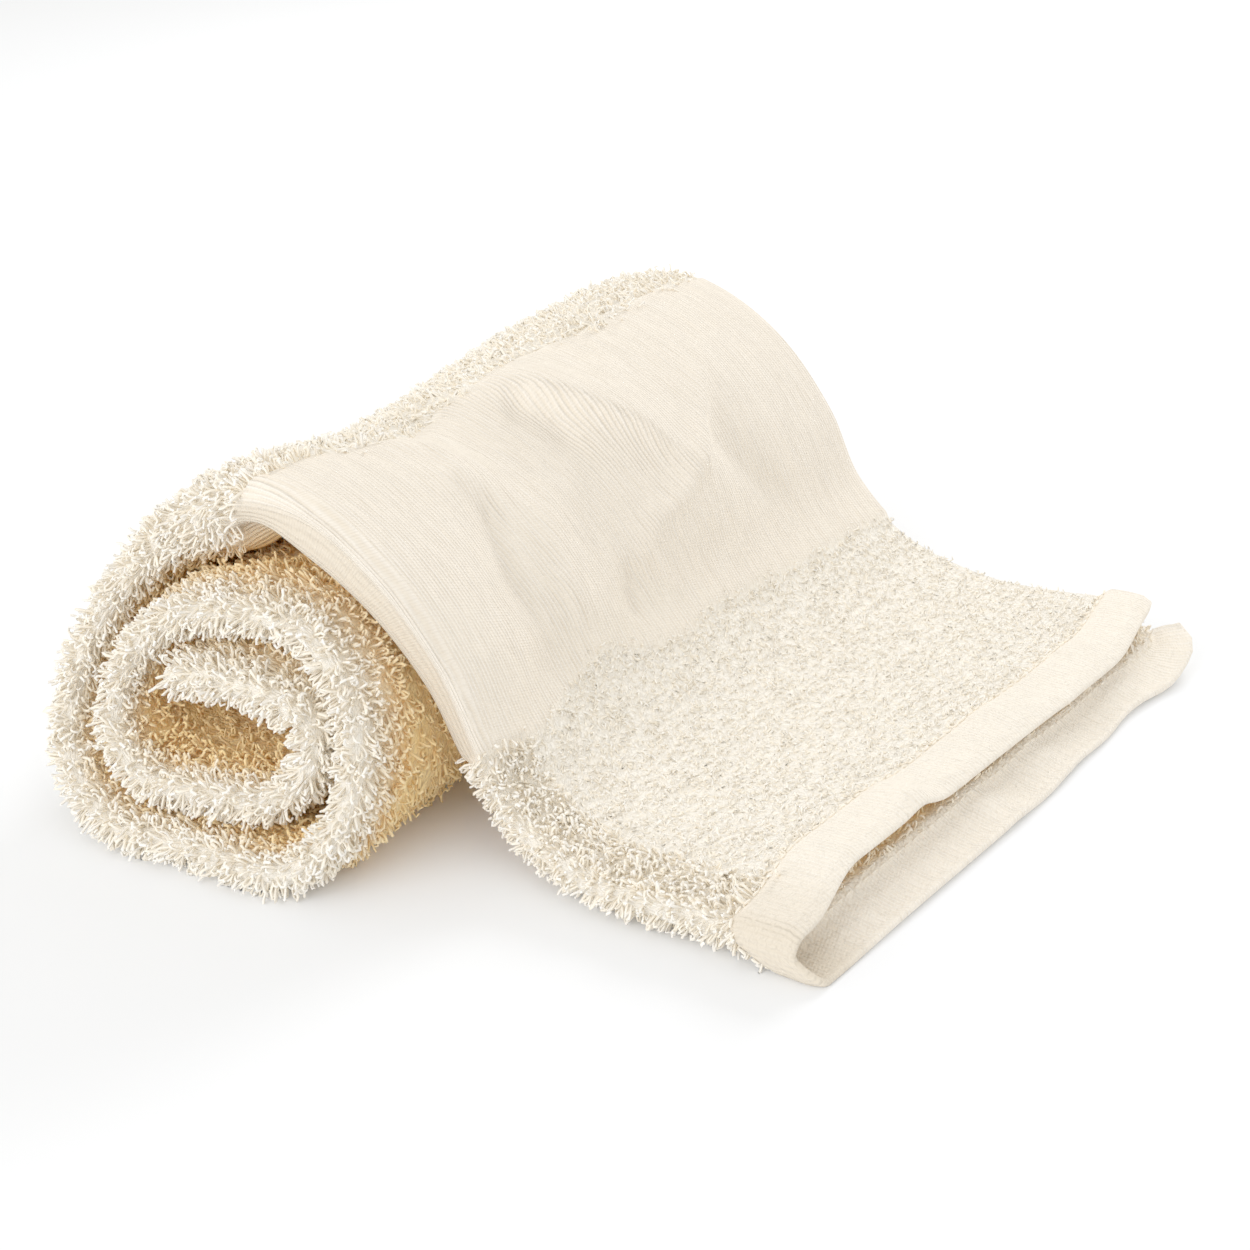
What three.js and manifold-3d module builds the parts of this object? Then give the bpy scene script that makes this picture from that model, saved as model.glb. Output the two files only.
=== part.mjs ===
// A guest towel of terry cloth, cut 308 by 450 mm. It is folded once along its length, wound into a
// loose roll, and its free end drapes over the roll and lies flat beside it. A flat woven band crosses
// it where it leaves the roll, and its end is hemmed.
// Frame: millimetres, +Z up, the roll runs along Y with its folded edge at -Y, and the hem is at +X.
// The origin is under the middle of the whole, on the surface that it lies on.
import * as THREE from "three";
import { mergeVertices } from "three/addons/utils/BufferGeometryUtils.js";
import Module from "manifold-3d";

// Driving dimensions
const foldedWidth = 154; // half of the 308 mm cut, from the folded edge to the selvages
const terryLayer = 4.1; // one layer of cloth with its pile pressed
const flatLayer = 1.5; // one layer of the flat woven band, and of the hem
const lowerHemLead = 9.5; // the lower layer's hem reaches this much further than the upper one's
const cornerDraw = 4.5; // the upper hem's far corner is drawn back by this
const nearHemGape = 1.2; // how much more the hem gapes a little in from the folded edge
const farHemGape = 1.6; // how much more it gapes at the selvages
const hemLift = 1.5; // how high the lower hem stands where it comes out from under the upper one
const cornerCurl = 5; // how high the lower hem's far corner curls up
const innerRoom = 1.3; // half of the most that the two layers stand apart in the cloth
const hemRoom = 2.5; // the same at the hem
const rollLean = -17; // the roll's far end lies this much further back along X than its near end
const crestSaddle = 3.2; // dip of the roll's back near its folded edge, and its rise further on
const sliver = 0.2; // the thinnest that the space between the layers starts with

// Mesh steps
const stepAlong = 4.7; // between rows, along the towel
const stepsAcross = 13; // from the folded edge to the selvages
const foldSteps = 5; // round the folded edge

// The doubled towel's middle line as seen at its folded edge, from the inner end of the roll to the
// hem. x and z place it, fold is how far towards -Y the folded edge reaches there, puff is half of the
// doubled thickness at the folded edge and body half of it in the middle of the cloth, layer is the
// thickness of one layer, and lean is how much of the roll's lean the far edge takes.
const stations = [
  { x: -45, z: 29.6, fold: -87, puff: 5, body: 4.3, layer: terryLayer, lean: 1 }, // inner end
  { x: -34.5, z: 31, fold: -85, puff: 5, body: 4.3, layer: terryLayer, lean: 1 },
  { x: -24, z: 30.8, fold: -82, puff: 4.5, body: 4, layer: terryLayer, lean: 1 },
  { x: -15.2, z: 27.6, fold: -80, puff: 3.6, body: 3.5, layer: terryLayer, lean: 1 }, // inner right
  { x: -12.4, z: 20.8, fold: -82, puff: 3.6, body: 3.5, layer: terryLayer, lean: 1 },
  { x: -17, z: 13.8, fold: -87, puff: 3.7, body: 3.6, layer: terryLayer, lean: 1 },
  { x: -30, z: 12.3, fold: -92, puff: 3.7, body: 3.6, layer: terryLayer, lean: 1 }, // inner bottom
  { x: -44, z: 13.2, fold: -96, puff: 3.9, body: 3.8, layer: terryLayer, lean: 1 },
  { x: -54.4, z: 20, fold: -94, puff: 4.6, body: 4.2, layer: terryLayer, lean: 1 }, // inner left
  { x: -55.2, z: 31, fold: -88, puff: 4.8, body: 4.3, layer: terryLayer, lean: 1 },
  { x: -47, z: 39.6, fold: -83, puff: 5, body: 4.3, layer: terryLayer, lean: 1 },
  { x: -33.5, z: 42.6, fold: -78, puff: 5, body: 4.3, layer: terryLayer, lean: 1 }, // second top
  { x: -20.6, z: 41.4, fold: -74, puff: 4.3, body: 4, layer: terryLayer, lean: 1 },
  { x: -11.6, z: 34.6, fold: -74, puff: 3.7, body: 3.6, layer: terryLayer, lean: 1 }, // outer right
  { x: -4.8, z: 24.4, fold: -78, puff: 3.6, body: 3.6, layer: terryLayer, lean: 1 },
  { x: -2.3, z: 11.8, fold: -87, puff: 3.9, body: 3.8, layer: terryLayer, lean: 1 },
  { x: -9, z: 4.2, fold: -93.5, puff: 4, body: 4, layer: terryLayer, lean: 1 }, // outer bottom
  { x: -28, z: 4, fold: -98, puff: 4, body: 4, layer: terryLayer, lean: 1 },
  { x: -48, z: 4.6, fold: -102, puff: 4.2, body: 4.2, layer: terryLayer, lean: 1 },
  { x: -62, z: 12.4, fold: -99.5, puff: 4.6, body: 4.4, layer: terryLayer, lean: 1 }, // outer left
  { x: -68, z: 26, fold: -91, puff: 4.8, body: 4.5, layer: terryLayer, lean: 1 },
  { x: -65, z: 41, fold: -81, puff: 4.9, body: 4.5, layer: terryLayer, lean: 1 },
  { x: -56, z: 53.4, fold: -74, puff: 4.9, body: 4.2, layer: terryLayer, lean: 1 },
  { x: -42.5, z: 60.4, fold: -69, puff: 5.2, body: 3.2, layer: flatLayer, lean: 1 }, // crest
  { x: -28, z: 59.2, fold: -67, puff: 5.6, body: 2.5, layer: flatLayer, lean: 1 },
  { x: -12.5, z: 50.8, fold: -64.5, puff: 5.4, body: 2.4, layer: flatLayer, lean: 1 }, // drape
  { x: 0, z: 35.6, fold: -61, puff: 4.6, body: 2.4, layer: flatLayer, lean: 1 },
  { x: 8, z: 20, fold: -59.5, puff: 4.2, body: 3, layer: flatLayer, lean: 1 },
  { x: 19, z: 8.6, fold: -61, puff: 4.8, body: 4.5, layer: terryLayer, lean: 0.75 }, // foot
  { x: 35, z: 4.9, fold: -62, puff: 4.8, body: 4.5, layer: terryLayer, lean: 0.45 },
  { x: 54, z: 4.7, fold: -59.5, puff: 4.7, body: 4.5, layer: terryLayer, lean: 0.2 },
  { x: 70, z: 4.6, fold: -56, puff: 4.7, body: 4.4, layer: terryLayer, lean: 0.05 }, // hem's stitches
  { x: 82, z: 4.3, fold: -54, puff: 4.6, body: 4, layer: flatLayer, lean: 0 }, // hem's edge
];
const stationPitch = 15; // the usual way between two stations
const lastStation = stations.length - 1;
const openFrom = 22.6; // the layers part from this station on
const hemFrom = lastStation - 3; // the two layers' ends begin to differ here

// Soft creases of the flat woven band's upper face, each a straight stretch between two spots given by
// station and share across. rise is its height, below zero for a trough, and reach its half width.
const creases = [
  { place: 23.6, across: 0.11, toPlace: 24.6, toAcross: 0.26, rise: 1.5, reach: 9 },
  { place: 23.3, across: 0.45, toPlace: 25.5, toAcross: 0.61, rise: 1.8, reach: 9 },
  { place: 25, across: 0.78, toPlace: 26, toAcross: 0.55, rise: 1.3, reach: 8 },
  { place: 25.2, across: 0.25, toPlace: 26.6, toAcross: 0.18, rise: -1.4, reach: 9 },
  { place: 24, across: 0.34, toPlace: 26.4, toAcross: 0.4, rise: -1.2, reach: 10 },
];

// A smooth line through one column of the stations, or through three of them at once.
function through(columns, kind) {
  const points = stations.map((s) => new THREE.Vector3(...columns.map((c) => (c ? s[c] : 0))));
  const curve = new THREE.CatmullRomCurve3(points, false, kind);
  return (place) => curve.getPoint(place / lastStation);
}
const line = through(["x", "fold", "z"], "centripetal");
const bulk = through(["puff", "body", "layer"], "catmullrom");
const leaning = through(["lean", null, null], "catmullrom");

const ease = (t) => {
  const c = Math.min(Math.max(t, 0), 1);
  return c * c * (3 - 2 * c);
};
const bump = (t, middle, reach) => Math.exp(-(((t - middle) / reach) ** 2));

// The doubled cloth's middle at a place along the towel and a share across it, 0 at the folded edge.
function middle(place, across) {
  const at = line(place);
  const height = at.z / 60;
  const back = crestSaddle * (bump(across, 0.85, 0.25) - 1.1 * bump(across, 0.35, 0.2));
  return new THREE.Vector3(
    at.x + rollLean * leaning(place).x * across,
    at.y,
    at.z + back * height * ease((height - 0.2) / 0.6),
  );
}

// The direction along the towel in its section, from the inner end to the hem.
function heading(place, across) {
  const h = 0.02;
  const a = middle(Math.max(place - h, 0), across);
  const b = middle(Math.min(place + h, lastStation), across);
  return new THREE.Vector3(b.x - a.x, 0, b.z - a.z).normalize();
}

// Half of the doubled thickness: puffed at the folded edge, flatter across the cloth.
function half(place, across) {
  const at = bulk(place);
  return THREE.MathUtils.lerp(at.x, at.y, ease(across / 0.3));
}

// How far the hem has been reached, from 0 well before it to 1 at it.
const hemward = (place) => ease((place - hemFrom) / (lastStation - hemFrom));

// What one layer takes of the thickness: the cloth itself, and more inside the puffed fold.
function layerAt(place, across) {
  const room = THREE.MathUtils.lerp(innerRoom, hemRoom, hemward(place));
  return Math.max(bulk(place).z, half(place, across) - room);
}

// How high the lower layer is lifted: where it comes out from under the upper hem, and at its corner.
function lift(place, across) {
  const emerging = hemLift * bump(place, lastStation - 0.65, 0.35) * ease(across / 0.15);
  const toEdge = (place - lastStation + 0.9) / 0.9;
  return emerging + cornerCurl * ease(toEdge) * ease((across - 0.86) / 0.14);
}

// How much the upper face rises at a spot: the creases of the band, and the hem's gape.
function rise(place, across) {
  let sum = hemward(place) * nearHemGape * bump(across, 0.22, 0.15);
  sum += hemward(place) * farHemGape * bump(across, 1, 0.12);
  for (const c of creases) {
    const along = (place - c.place) * stationPitch;
    const aside = (across - c.across) * foldedWidth;
    const runAlong = (c.toPlace - c.place) * stationPitch;
    const runAside = (c.toAcross - c.across) * foldedWidth;
    const share = (along * runAlong + aside * runAside) / (runAlong ** 2 + runAside ** 2);
    const t = Math.min(Math.max(share, 0), 1);
    const away = Math.hypot(along - runAlong * t, aside - runAside * t);
    sum += c.rise * bump(away, 0, c.reach);
  }
  return sum;
}

// A point of a skin that wraps the doubled cloth. round goes from 1 on the outer face to -1 on the
// inner one, across is 0 on the fold itself, and inset is how far the skin lies inside the surface.
function skin(place, across, angle, inset, beyond) {
  const full = half(place, across);
  const reach = Math.max(full - inset, sliver);
  const along = heading(place, across);
  const out = new THREE.Vector3(-along.z, 0, along.x);
  const mid = middle(place, across);
  const side = Math.sin(angle);
  const edge = half(place, 0);
  mid.y += edge + (foldedWidth - edge) * across - reach * Math.cos(angle);
  const upper = (1 + side) / 2;
  const drawn = lowerHemLead * ease(across / 0.15) + cornerDraw * ease((across - 0.8) / 0.2);
  const lead = beyond - hemward(place) * upper * drawn;
  return mid
    .addScaledVector(out, reach * side + rise(place, across) * upper)
    .addScaledVector(out, lift(place, across) * (1 - upper))
    .addScaledVector(along, lead);
}

// The loop of places round the cloth's section: outer face, folded edge, inner face.
function loopOfSection(past) {
  const loop = [];
  for (let i = stepsAcross; i > 0; i--) {
    const extra = i === stepsAcross ? past : 0;
    loop.push({ across: i / stepsAcross + extra, angle: Math.PI / 2 });
  }
  for (let i = 0; i <= foldSteps; i++) {
    loop.push({ across: 0, angle: Math.PI * (0.5 - i / foldSteps) });
  }
  for (let i = 1; i <= stepsAcross; i++) {
    const extra = i === stepsAcross ? past : 0;
    loop.push({ across: i / stepsAcross + extra, angle: -Math.PI / 2 });
  }
  return loop;
}

// Even places along the towel between two stations.
function placesAlong(from, to) {
  const fine = 1200;
  const places = [from];
  let walked = 0;
  let before = line(from);
  for (let i = 1; i <= fine; i++) {
    const place = from + ((to - from) * i) / fine;
    const at = line(place);
    walked += Math.hypot(at.x - before.x, at.z - before.z);
    before = at;
    if (walked >= stepAlong) {
      places.push(place);
      walked = 0;
    }
  }
  if (walked > stepAlong / 2) places.push(to);
  else places[places.length - 1] = to;
  return places;
}

// A closed geometry from rows of points, each row a loop, with flat caps at both ends.
function sweep(rows) {
  const count = rows[0].length;
  const positions = rows.flat().flatMap((p) => [p.x, p.y, p.z]);
  const index = [];
  for (let r = 0; r + 1 < rows.length; r++) {
    for (let i = 0; i < count; i++) {
      const a = r * count + i;
      const b = r * count + ((i + 1) % count);
      index.push(a, b, b + count, a, b + count, a + count);
    }
  }
  for (const [row, turn] of [[0, false], [rows.length - 1, true]]) {
    for (let i = 0; i + 1 < count - 1 - i; i++) {
      const a = row * count + i;
      const b = a + 1;
      const c = row * count + count - 1 - i;
      const d = c - 1;
      const faces = b === d ? [[a, c, b]] : [[a, c, b], [b, c, d]];
      for (const [p, q, s] of faces) index.push(...(turn ? [p, s, q] : [p, q, s]));
    }
  }
  const geometry = new THREE.BufferGeometry();
  geometry.setAttribute("position", new THREE.Float32BufferAttribute(positions, 3));
  geometry.setIndex(index);
  return geometry;
}

const wasm = await Module();
wasm.setup();

function solidOf(geometry) {
  const merged = mergeVertices(geometry, 1e-4);
  return new wasm.Manifold(
    new wasm.Mesh({
      numProp: 3,
      vertProperties: merged.attributes.position.array,
      triVerts: new Uint32Array(merged.index.array),
    }),
  );
}

function geometryOf(solid) {
  const mesh = solid.getMesh();
  const geometry = new THREE.BufferGeometry();
  geometry.setAttribute("position", new THREE.BufferAttribute(mesh.vertProperties, 3));
  geometry.setIndex(new THREE.BufferAttribute(mesh.triVerts, 1));
  return geometry;
}

// The doubled cloth as one thickness. What would sink below the surface it lies on is pressed flat.
function doubledCloth() {
  const loop = loopOfSection(0);
  const pressed = 0.35;
  return placesAlong(0, lastStation).map((place) =>
    loop.map(({ across, angle }) => {
      const point = skin(place, across, angle, 0, 0);
      if (point.z < pressed) point.z = 0;
      return point;
    }),
  );
}

// The space between the two layers of the free end, open at the selvages and at the hem.
function spaceBetweenLayers() {
  const past = 0.03;
  const loop = loopOfSection(past);
  const row = (place, beyond) =>
    loop.map(({ across, angle }) => skin(place, across, angle, layerAt(place, across), beyond));
  const rows = placesAlong(openFrom, lastStation).map((place) => row(place, 0));
  const beyondHem = 4;
  rows.push(row(lastStation, beyondHem));
  return rows;
}

// The one piece of cloth, moved so that the origin is under its middle.
function towel() {
  const cloth = solidOf(sweep(doubledCloth()));
  const space = solidOf(sweep(spaceBetweenLayers()));
  const geometry = geometryOf(cloth.subtract(space));
  geometry.computeBoundingBox();
  const centre = geometry.boundingBox.getCenter(new THREE.Vector3());
  geometry.translate(-centre.x, -centre.y, 0);
  const cream = new THREE.MeshStandardMaterial({ color: 0xf0e4cc, roughness: 0.95, metalness: 0 });
  const mesh = new THREE.Mesh(geometry, cream);
  mesh.name = "towel";
  return mesh;
}

const part = new THREE.Group();
part.add(towel());

export default part;
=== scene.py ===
# The rolled guest towel in cream terry: one sheet of cloth folded along its length, rolled, and
# draped over its own roll, with a flat woven band, stitched hems and a pile of cotton loops.
# The sheet follows the same stations as the solid it stands for. The functions work in millimetres
# before the part is centred, and the meshes are written in metres in the part's frame.
# place counts stations along the towel, from its inner end to the hem. across is a share of the folded
# width, 0 at the fold and 1 at the selvages. angle is 90 degrees on the outer layer, -90 on the inner
# one, and between them round the fold.
import math

import bpy
import numpy as np
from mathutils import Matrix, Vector


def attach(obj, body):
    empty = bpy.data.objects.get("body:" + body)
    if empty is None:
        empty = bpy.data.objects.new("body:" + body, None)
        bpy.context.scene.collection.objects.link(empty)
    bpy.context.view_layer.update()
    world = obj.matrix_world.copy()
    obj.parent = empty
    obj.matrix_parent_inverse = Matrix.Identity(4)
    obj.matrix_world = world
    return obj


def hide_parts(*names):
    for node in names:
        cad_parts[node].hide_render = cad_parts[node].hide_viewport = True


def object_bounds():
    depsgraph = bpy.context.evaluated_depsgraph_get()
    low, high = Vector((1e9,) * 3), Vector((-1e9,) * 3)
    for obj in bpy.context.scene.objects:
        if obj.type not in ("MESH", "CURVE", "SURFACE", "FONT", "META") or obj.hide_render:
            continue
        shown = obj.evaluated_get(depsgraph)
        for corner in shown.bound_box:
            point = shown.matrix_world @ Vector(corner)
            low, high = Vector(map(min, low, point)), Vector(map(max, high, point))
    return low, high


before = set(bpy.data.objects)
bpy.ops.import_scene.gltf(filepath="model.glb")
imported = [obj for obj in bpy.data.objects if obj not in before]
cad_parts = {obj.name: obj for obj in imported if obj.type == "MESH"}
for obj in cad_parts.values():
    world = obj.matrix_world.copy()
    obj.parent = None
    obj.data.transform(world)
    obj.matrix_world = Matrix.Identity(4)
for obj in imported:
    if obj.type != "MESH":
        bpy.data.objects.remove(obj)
cad_bounds = [list(corner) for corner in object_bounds()]

MM = 0.001
FOLDED_WIDTH = 154.0  # half of the cut width, from the folded edge to the selvages
STATION_PITCH = 15.0  # about how far one station is from the next
FLOOR_GAP = 0.15  # the cloth keeps this clear of the surface it lies on
ROLL_LEAN = -17.0  # how far the roll lies aside at the selvages
CREST_HEIGHT = 60.0
CREST_SADDLE = 3.2  # how far the crest rises near its far end, and about how far it dips nearer
WOVEN_SHEET = 1.5  # thickness of the flat woven cloth
TERRY_SHEET = 1.8  # thickness of the terry's ground with its lowest loops
LAYER_GAP = 0.35  # at least this much is left between the two layers' grounds
PILE_SINK = 1.15  # how far the terry's ground lies inside the solid's surface
FOLD_PILE_SINK = 3.0  # the same at the folded edge, where the loops stand up
LEAST_REACH = 0.2  # no point lies nearer than this to the doubled cloth's middle
TURN_ARC = 4.5  # how much of the cloth's pattern a radian of the fold takes

# The woven band's folded front is flat between two ridges
FOLD_POWER = 0.4  # how square it is, 1 being round
FOLD_UNDERCUT = 2.4  # how far it slopes back towards its lower ridge
FOLD_DENT = 0.9  # how far it is drawn in between its ridges
FOLD_SHADE_SHARE = 0.8  # how much it takes of the painted shade on the folded front
APEX_PINCH = 0.8  # how much flatter the fold's lower half is where the band begins
APEX_PUFF = 6.5  # how far the lower layer sags there

LOWER_HEM_LEAD = 9.5  # how far the lower hem reaches beyond the upper one
HEM_FOLD_DRAW = 5.5  # how far the hem's edge lies back at the fold
CORNER_DRAW = 4.5  # how much further back the upper hem's far corner lies
CORNER_ROUND = 5.0  # how far the lower hem's far corner is rounded off
UPPER_CORNER_SHARE = 0.25  # how much of that the upper hem's corner has
NEAR_HEM_GAPE = 2.6  # how high the upper hem stands open near the fold
FAR_HEM_GAPE = 1.6  # the same at its far corner
HEM_LIFT = 1.5  # how high the lower hem stands where it comes out from under the upper one
CORNER_CURL = 5.0  # how high the lower hem's far corner curls up
SEAM_GROOVE = 0.8  # how deep the stitches draw the cloth in
HEM_SWELL = 0.7  # how far the turned hem swells beyond them
HEM_FUZZ = 0.35  # how much the turned hem looks like the terry's ground

# x, z, fold, puff, body, lean: the doubled towel's middle line at its folded edge, how far towards -Y
# the fold reaches, half of the thickness at the fold and in the cloth, and its share of the lean
STATIONS = [
    (-45, 29.6, -87, 5, 4.3, 1),
    (-34.5, 31, -85, 5, 4.3, 1),
    (-24, 30.8, -82, 4.5, 4, 1),
    (-15.2, 27.6, -80, 3.6, 3.5, 1),
    (-12.4, 20.8, -82, 3.6, 3.5, 1),
    (-17, 13.8, -87, 3.7, 3.6, 1),
    (-30, 12.3, -92, 3.7, 3.6, 1),
    (-44, 13.2, -96, 3.9, 3.8, 1),
    (-54.4, 20, -94, 4.6, 4.2, 1),
    (-55.2, 31, -88, 4.8, 4.3, 1),
    (-47, 39.6, -83, 5, 4.3, 1),
    (-33.5, 42.6, -78, 5, 4.3, 1),
    (-20.6, 41.4, -74, 4.3, 4, 1),
    (-11.6, 34.6, -74, 3.7, 3.6, 1),
    (-4.8, 24.4, -78, 3.6, 3.6, 1),
    (-2.3, 11.8, -87, 3.9, 3.8, 1),
    (-9, 4.2, -93.5, 4, 4, 1),
    (-28, 4, -98, 4, 4, 1),
    (-48, 4.6, -102, 4.2, 4.2, 1),
    (-62, 12.4, -99.5, 4.6, 4.4, 1),
    (-68, 26, -91, 4.8, 4.5, 1),
    (-65, 41, -81, 4.9, 4.5, 1),
    (-56, 53.4, -74, 4.9, 4.2, 1),
    (-42.5, 60.4, -69, 5.2, 3.2, 1),
    (-28, 59.2, -67, 5.6, 2.5, 1),
    (-12.5, 50.8, -64.5, 5.4, 2.4, 1),
    (0, 35.6, -61, 4.6, 2.4, 1),
    (8, 20, -59.5, 4.2, 3, 1),
    (19, 8.6, -61, 4.8, 4.5, 0.75),
    (35, 4.9, -62, 4.8, 4.5, 0.45),
    (54, 4.7, -59.5, 4.7, 4.5, 0.2),
    (70, 4.6, -56, 4.7, 4.4, 0.05),
    (82, 4.3, -54, 4.6, 4, 0),
]

# Places along the towel
LAST = len(STATIONS) - 1
OUTSIDE_FROM = 15.8  # the outer layer comes out of the roll
FINE_FROM = 21  # the sheet's rows lie closer together from here
PUFF_MIDDLE = 22.6
APEX = 23.1  # the band's corner at the fold
SQUARE_FROM = 23.2  # the band's fold gets its flat front
ROUNDER_FROM = 25.6  # it gets rounder again
HEM_FROM = LAST - 3  # the upper hem begins to lie back
LINING_END = LAST - 0.75  # light reaches between the layers beyond it
UPPER_SEAM = LAST - 1.15  # the upper layer's stitch line
LOWER_SEAM = LAST - 0.84  # the lower layer's stitch line

# place, across, to place, to across, rise, reach: soft creases of the upper face
CREASES = [
    (23.6, 0.11, 24.6, 0.26, 1.5, 9),
    (23.3, 0.45, 25.5, 0.61, 1.8, 9),
    (25, 0.78, 26, 0.55, 1.3, 8),
    (25.2, 0.25, 26.6, 0.18, -1.4, 9),
    (24, 0.34, 26.4, 0.4, -1.2, 10),
]
# Finer creases of the band, each a line of places and shares across with its rise and its reach in
# millimetres on the side of the fold and on the side of the selvages
FINE_CREASES = [
    ([(23.4, 0.43), (23.8, 0.473), (24.2, 0.503), (24.6, 0.528), (25.1, 0.57), (25.5, 0.603)], 3.0, 2.6, 9),
    ([(23.7, 0.43), (24.0, 0.455), (24.4, 0.472), (25.0, 0.45)], -2.3, 6, 3.5),
    ([(23.4, 0.16), (23.7, 0.222), (24.0, 0.248), (24.25, 0.25), (24.5, 0.232), (24.75, 0.212)], 2.0, 3, 6),
    ([(23.5, 0.25), (23.28, 0.312), (23.16, 0.385)], -1.6, 3.5, 4),
    ([(24.5, 0.255), (24.9, 0.232), (25.3, 0.202), (25.75, 0.188), (26.4, 0.186)], -2.2, 5, 2.6),
    ([(24.6, 0.36), (25.0, 0.35), (25.55, 0.29), (26.0, 0.268), (26.6, 0.257)], 1.8, 4, 6),
    (
        [(24.7, 0.8), (25.2, 0.717), (25.65, 0.625), (25.85, 0.55), (25.9, 0.49), (26.2, 0.425)],
        1.8, 2.6, 1.8,
    ),
    ([(25.0, 0.8), (25.55, 0.7), (26.2, 0.745), (26.7, 0.82)], -1.9, 5, 6),
    ([(26.0, 0.42), (26.5, 0.38), (26.8, 0.36)], -1.6, 4, 3),
]
CREASE_END = 0.2  # how much of a fine crease is left at its ends
CREASE_FADE = 0.3  # over how much of its length it fades

# across, place: where the woven band begins and ends on the outer layer
BAND_TOP = [
    (0, 23.25), (0.06, 23.35), (0.17, 23.44), (0.24, 23.52), (0.31, 23.28), (0.39, 23.16), (0.43, 23.36),
    (0.52, 23.24), (0.6, 23.35), (0.71, 23.62), (0.78, 23.6), (0.87, 23.52), (1, 23.66),
]
BAND_END = [
    (0, 27.02), (0.09, 27.2), (0.16, 27.03), (0.27, 26.78), (0.36, 27.17), (0.45, 27.34), (0.5, 27.18),
    (0.61, 27.32), (0.75, 27.46), (0.9, 27.54), (1, 27.66),
]
BAND_TURN = 0.5  # how much sooner the band begins under the fold
INNER_BAND_TURN = 1.0  # how much sooner still on the inner layer
EDGE = 0.16  # over how much of a station the pile ends

# place, across, rise, reach along and reach across in millimetres: puckers that the stitches draw
UPPER_PUCKERS = [
    (31.7, 0.285, 1.3, 6, 4),
    (31.4, 0.2, -0.6, 5, 6),
    (31.3, 0.4, -0.8, 6, 5),
    (31.2, 0.56, 0.9, 7, 6),
    (31.5, 0.68, -0.9, 7, 5),
    (31.3, 0.8, 0.9, 7, 5),
    (30.8, 0.9, -1.4, 4, 7),
]
LOWER_PUCKERS = [
    (31.5, 0.43, 1.3, 6, 4),
    (31.6, 0.5, -0.7, 6, 4),
    (31.4, 0.58, 1.2, 6, 4),
    (31.6, 0.7, -0.7, 6, 5),
    (31.5, 0.82, 1.1, 6, 5),
]
# across, how far back in millimetres, reach: where the lower hem's edge is drawn in
EDGE_WAVES = [(0.62, 1.2, 0.07), (0.78, 2.6, 0.09), (1.0, 2.6, 0.06)]


def spline(columns, place, centripetal=False):
    """Catmull-Rom through the given columns of the stations, as the solid's own curves run."""
    knots = np.array([[row[c] for c in columns] for row in STATIONS], float)
    place = np.clip(np.asarray(place, float), 0, LAST)
    first = np.minimum(np.floor(place).astype(int), LAST - 1)
    share = (place - first)[..., None]
    knots = np.vstack([2 * knots[0] - knots[1], knots, 2 * knots[-1] - knots[-2]])
    a, b, c, d = (knots[first + i] for i in range(4))
    if centripetal:
        ab, bc, cd = knot_gap(a, b), knot_gap(b, c), knot_gap(c, d)
        start = ((b - a) / ab - (c - a) / (ab + bc) + (c - b) / bc) * bc
        end = ((c - b) / bc - (d - b) / (bc + cd) + (d - c) / cd) * bc
    else:
        start = (c - a) / 2
        end = (d - b) / 2
    return (
        b
        + start * share
        + (-3 * b + 3 * c - 2 * start - end) * share**2
        + (2 * b - 2 * c + start + end) * share**3
    )


def knot_gap(first, second):
    return np.sqrt(np.linalg.norm(first - second, axis=-1, keepdims=True)).clip(1e-9)


def ease(t):
    """0 below 0, 1 above 1 and a smooth rise between them."""
    c = np.clip(t, 0, 1)
    return c * c * (3 - 2 * c)


def bump(t, middle, reach):
    """1 at its middle, falling off smoothly on both sides."""
    return np.exp(-(((t - middle) / reach) ** 2))


def upper_share(angle):
    """1 on the outer layer, which is the upper one at the hem, and 0 on the inner one."""
    return (1 + np.sin(angle)) / 2


def middle_line(place, across):
    """The doubled cloth's middle, before it is moved aside from the folded edge."""
    at = spline((0, 2, 1), place, centripetal=True)
    lean = spline((5,), place)[..., 0]
    height = at[..., 2] / CREST_HEIGHT
    back = CREST_SADDLE * (bump(across, 0.85, 0.25) - 1.1 * bump(across, 0.35, 0.2))
    x = at[..., 0] + ROLL_LEAN * lean * across
    z = at[..., 2] + back * height * ease((height - 0.2) / 0.6)
    return np.stack([x, at[..., 1], z], -1)


def heading(place, across):
    """The way the towel runs on, with no slant towards its far end."""
    step = 0.02
    way = middle_line(place + step, across) - middle_line(place - step, across)
    way[..., 1] = 0
    return way / np.linalg.norm(way, axis=-1, keepdims=True)


def half_thickness(place, across):
    """Half of the doubled thickness: puffed at the fold, where the woven band falls off sooner."""
    size = spline((3, 4), place)
    woven = 1 - terry(place, across)
    share = ease(across / 0.3) * (1 - woven) + ease(across / 0.17) * woven
    return size[..., 0] * (1 - share) + size[..., 1] * share


def off_line(place, across, start, end):
    """How far a point lies from a straight crease and how far aside of it, towards the selvages being
    more than 0, both in millimetres, and its share of the way along the crease."""
    along = (place - start[0]) * STATION_PITCH
    aside = (across - start[1]) * FOLDED_WIDTH
    run_along = (end[0] - start[0]) * STATION_PITCH
    run_aside = (end[1] - start[1]) * FOLDED_WIDTH
    length = np.hypot(run_along, run_aside)
    share = np.clip((along * run_along + aside * run_aside) / length**2, 0, 1)
    away = np.hypot(along - run_along * share, aside - run_aside * share)
    return away, (run_along * aside - run_aside * along) / length, share


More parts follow.
